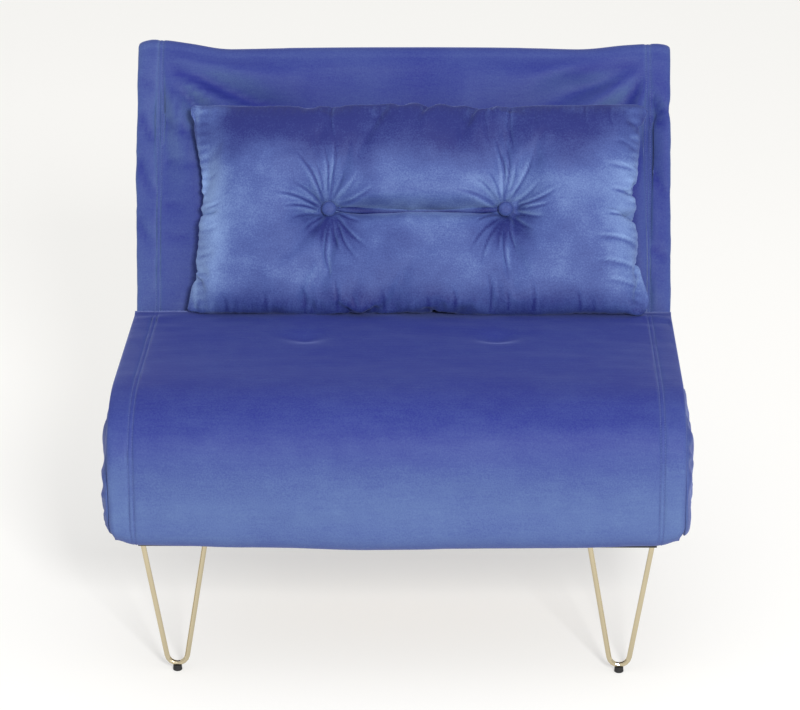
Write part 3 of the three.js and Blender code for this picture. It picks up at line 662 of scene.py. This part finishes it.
# pillow leans: depth and place in the backrest's frame
zlo = co[:, 2].min()
PL = 0.126 - zlo
sag = 0.006 * np.exp(-((co[:, 2] - zlo) / 0.05) ** 2)
ymax = 0.047
loc = np.stack([co[:, 0] + PX, np.minimum(co[:, 1], ymax) * 0.92 - 0.0295 - ymax * 0.92 - 0.003, co[:, 2] + PL], 1)
btn_local = []
for s in (-1, 1):
    sel = (np.hypot(co[:, 0] - s * BXP, co[:, 2]) < 0.006) & (co[:, 1] < 0)
    btn_local.append((s * BXP + PX, loc[sel, 1].mean(), PL))
set_coords(pil, to_world(loc))
def pillow_tone_and_painted_light(c, n):
    zl = pil_z / 0.171
    # painted shade over the upper part of the pillow and along its bottom edge; a lighter band across the middle
    b = 0.47 - 0.44 * smooth(0.24, 0.80, zl + 0.12 * fbm(c, (7, 7, 7), 2, 3.0)) + 0.10 * np.exp(-((zl - 0.05) / 0.35) ** 2)
    b -= 0.26 * smooth(-0.66, -0.98, zl)
    # painted light: the pillow's ends lighter, the left end more than the right
    side_ = smooth(0.285, 0.335, np.abs(pil_x) + 0.010 * fbm(c, (9, 9, 9), 2, 1.0))
    b += side_ * np.where(pil_x < 0, 0.34, 0.20)
    # painted shade in the hollow below each button, painted highlight above it
    for s in (-1, 1):
        dx = pil_x - s * BXP
        b -= 0.52 * np.exp(-((dx / 0.040) ** 2 + ((pil_z + 0.032) / 0.030) ** 2))
        b += 0.10 * np.exp(-((dx / 0.05) ** 2 + ((pil_z - 0.035) / 0.03) ** 2))
    b += 0.12 * fbm(c, (8, 8, 8), 3, 5.0) + 0.10 * fbm(c, (30, 30, 30), 2, 15.0)
    # painted shade in the creases and gathers, painted highlight on the ridges beside them
    b -= 0.34 * crease_map; b += 0.16 * ridge_map
    # painted highlight along the left edge of the case
    rim = np.exp(-((0.358 - np.abs(pil_x)) / 0.004) ** 2) * (pil_x < 0)
    return b + 0.2 * rim
tone_and_painted_light(pil, pillow_tone_and_painted_light)
pil.data.materials.append(M_PIL)
pil.data.polygons.foreach_set("use_smooth", [True] * len(pil.data.polygons))
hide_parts("pillow_cover", "pillow_filling"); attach(pil, "pillow")

# covered buttons
for (nm, s), (bx, by, bz) in zip((("left", -1), ("right", 1)), btn_local):
    pr = [(0, 0.0052), (0.004, 0.0050), (0.0080, 0.0041), (0.0106, 0.0022), (0.0122, -0.0006), (0.0120, -0.0030), (0.009, -0.0060), (0, -0.0060)]
    verts, faces = [], []; n = 28
    for k, (r, h) in enumerate(pr):
        for a in range(n):
            an = a / n * 2 * math.pi
            verts.append((bx + r * math.cos(an), by - 0.0085 - h, bz + r * math.sin(an)))
    for k in range(len(pr) - 1):
        for a in range(n):
            faces.append((k * n + a, k * n + (a + 1) % n, (k + 1) * n + (a + 1) % n, (k + 1) * n + a))
    o = mesh_obj(f"covered_button_{nm}", to_world(np.array(verts)), faces)
    # painted light: the lower, downward-facing side of each button lighter
    tone_and_painted_light(o, lambda c, n: 0.34 + 0.25 * np.clip(-n[:, 2], 0, 1))
    o.data.materials.append(M_PIL)
    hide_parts(f"pillow_button_{nm}"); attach(o, "pillow")

# ------------------------------------------------------------------ light, floor, camera
def stage_mesh():
    me = bpy.data.meshes.new("floor"); s = 30
    me.from_pydata([(-s, -s, 0), (s, -s, 0), (s, s, 0), (-s, s, 0)], [], [(0, 1, 2, 3)])
    o = bpy.data.objects.new("floor", me); scn.collection.objects.link(o)
    m = bpy.data.materials.new("pale_floor"); m.use_nodes = True
    b = m.node_tree.nodes["Principled BSDF"]
    b.inputs["Base Color"].default_value = (0.50, 0.497, 0.487, 1)
    b.inputs["Emission Color"].default_value = (1.0, 0.992, 0.965, 1); b.inputs["Emission Strength"].default_value = 0.455
    b.inputs["Roughness"].default_value = 0.9
    b.inputs["Specular IOR Level"].default_value = 0.1
    me.materials.append(m)
stage_mesh()
w = bpy.data.worlds.new("soft"); scn.world = w; w.use_nodes = True
w.node_tree.nodes["Background"].inputs["Color"].default_value = (1.0, 0.995, 0.985, 1)
w.node_tree.nodes["Background"].inputs["Strength"].default_value = 0.80
def area(name, loc, target, size, power, color=(1, 1, 1)):
    l = bpy.data.lights.new(name, "AREA"); l.size = size; l.energy = power; l.color = color
    o = bpy.data.objects.new(name, l); scn.collection.objects.link(o)
    o.location = loc
    o.rotation_euler = (Vector(target) - Vector(loc)).to_track_quat("-Z", "Y").to_euler()
    return o
area("key", (1.25, -5.4, 3.0), (0, 0, 0.3), 1.0, 300)
area("top", (0.0, 0.3, 4.5), (0, 0, 0.3), 4.0, 14)
scn.view_settings.view_transform = "Standard"

AZ, EL, ROLL, D, FPX = math.radians(1.46), math.radians(19.0), math.radians(-0.35), 5.0, 3170.0
aim = Vector((-0.0006, -OY, 0.4228))
fwd = Vector((-math.sin(AZ) * math.cos(EL), math.cos(AZ) * math.cos(EL), -math.sin(EL)))
r = Vector((math.cos(AZ), math.sin(AZ), 0)); u = r.cross(fwd)
r2 = math.cos(ROLL) * r + math.sin(ROLL) * u; u2 = -math.sin(ROLL) * r + math.cos(ROLL) * u
cam = bpy.data.cameras.new("camera"); co_ = bpy.data.objects.new("camera", cam); scn.collection.objects.link(co_)
M = Matrix((r2, u2, -fwd)).transposed().to_4x4(); M.translation = aim - fwd * D
co_.matrix_world = M
cam.sensor_width = 36.0; cam.lens = FPX / 800 * 36.0; cam.clip_end = 200
scn.camera = co_
